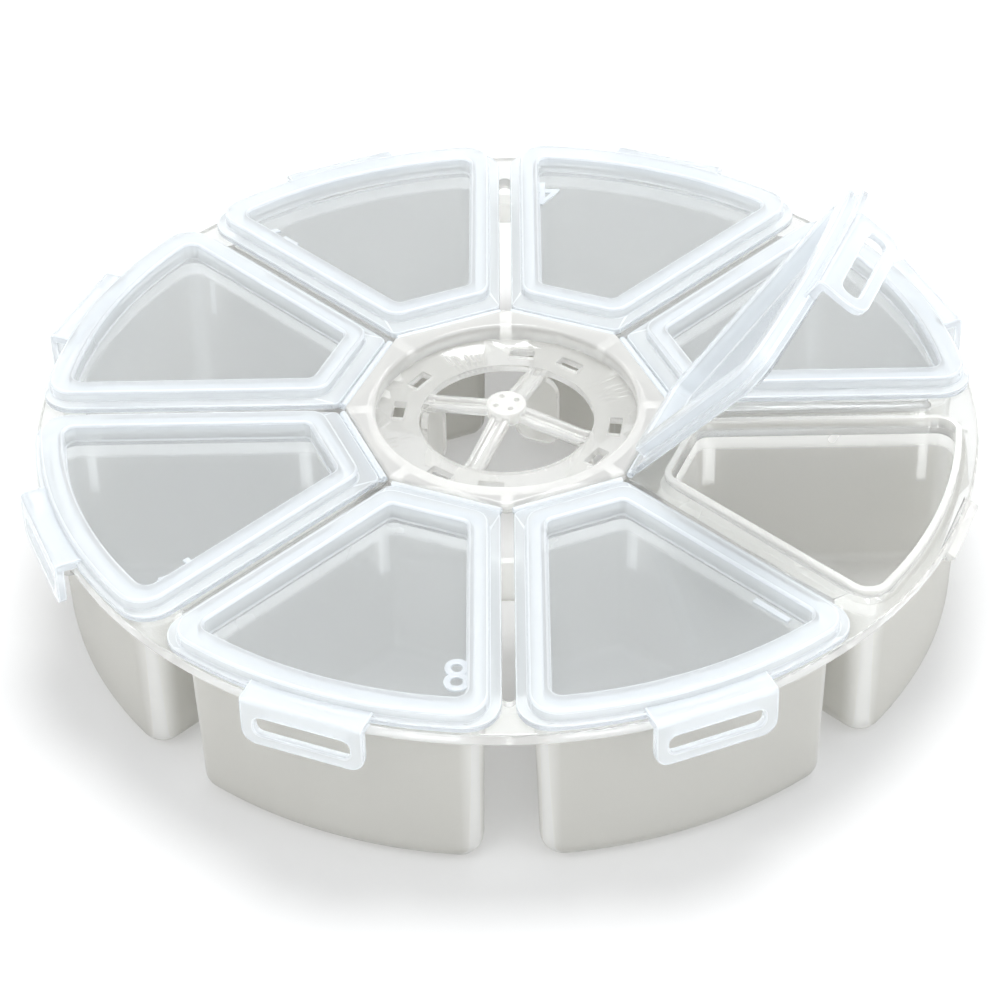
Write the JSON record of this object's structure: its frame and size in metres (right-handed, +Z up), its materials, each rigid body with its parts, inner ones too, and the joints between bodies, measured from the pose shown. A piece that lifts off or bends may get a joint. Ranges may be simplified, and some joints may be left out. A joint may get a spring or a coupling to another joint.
{
  "type": "round storage box",
  "caption": "Round clear storage box of wedge compartments under a flange, each with a hinged snap lid round an open hub.",
  "frame": {"origin": "on the surface that the cups rest on, under the middle of the box", "axes": "+Z up through the middle of the hub, -Y towards the front of the picture, +X to its right"},
  "size_m": [0.1608, 0.1608, 0.0785],
  "materials": {
    "clear_flange": "clear, glossy",
    "clear_hub": "clear, glossy",
    "clear_lid": "clear, glossy",
    "clear_latch": "clear, glossy",
    "frosted_cup": "frosted, matte"
  },
  "bodies": {
    "tray": {"tray_flange": "clear_flange", "hub_ring": "clear_hub", "hub_spider": "clear_hub", "cup_1": "frosted_cup", "cup_2": "frosted_cup", "cup_3": "frosted_cup", "cup_4": "frosted_cup", "cup_5": "frosted_cup", "cup_6": "frosted_cup", "cup_7": "frosted_cup", "cup_8": "frosted_cup"},
    "flap_1": {"lid_1": "clear_lid", "latch_1": "clear_latch"},
    "flap_2": {"lid_2": "clear_lid", "latch_2": "clear_latch"},
    "flap_3": {"lid_3": "clear_lid", "latch_3": "clear_latch"},
    "flap_4": {"lid_4": "clear_lid", "latch_4": "clear_latch"},
    "flap_5": {"lid_5": "clear_lid", "latch_5": "clear_latch"},
    "flap_6": {"lid_6": "clear_lid", "latch_6": "clear_latch"},
    "flap_7": {"lid_7": "clear_lid", "latch_7": "clear_latch"},
    "flap_8": {"lid_8": "clear_lid", "latch_8": "clear_latch"}
  },
  "joints": [
    {"name": "lid_hinge_1", "type": "hinge", "parent": "tray", "child": "flap_1", "pos_m": [0.00999, -0.02411, 0.0313], "axis": [-0.9239, -0.3827, 0], "range_deg": [0, 38]},
    {"name": "lid_hinge_2", "type": "hinge", "parent": "tray", "child": "flap_2", "pos_m": [0.02411, -0.00999, 0.0313], "axis": [0.3827, 0.9239, 0], "range_deg": [-29, 56]},
    {"name": "lid_hinge_3", "type": "hinge", "parent": "tray", "child": "flap_3", "pos_m": [0.02411, 0.00999, 0.0313], "axis": [0.3827, -0.9239, 0], "range_deg": [0, 38]},
    {"name": "lid_hinge_4", "type": "hinge", "parent": "tray", "child": "flap_4", "pos_m": [0.00999, 0.02411, 0.0313], "axis": [-0.9239, 0.3827, 0], "range_deg": [-85, 0]},
    {"name": "lid_hinge_5", "type": "hinge", "parent": "tray", "child": "flap_5", "pos_m": [-0.00999, 0.02411, 0.0313], "axis": [0.9239, 0.3827, 0], "range_deg": [0, 85]},
    {"name": "lid_hinge_6", "type": "hinge", "parent": "tray", "child": "flap_6", "pos_m": [-0.02411, 0.00999, 0.0313], "axis": [-0.3827, -0.9239, 0], "range_deg": [-85, 0]},
    {"name": "lid_hinge_7", "type": "hinge", "parent": "tray", "child": "flap_7", "pos_m": [-0.02411, -0.00999, 0.0313], "axis": [-0.3827, 0.9239, 0], "range_deg": [0, 85]},
    {"name": "lid_hinge_8", "type": "hinge", "parent": "tray", "child": "flap_8", "pos_m": [-0.00999, -0.02411, 0.0313], "axis": [0.9239, -0.3827, 0], "range_deg": [-85, 0]}
  ]
}
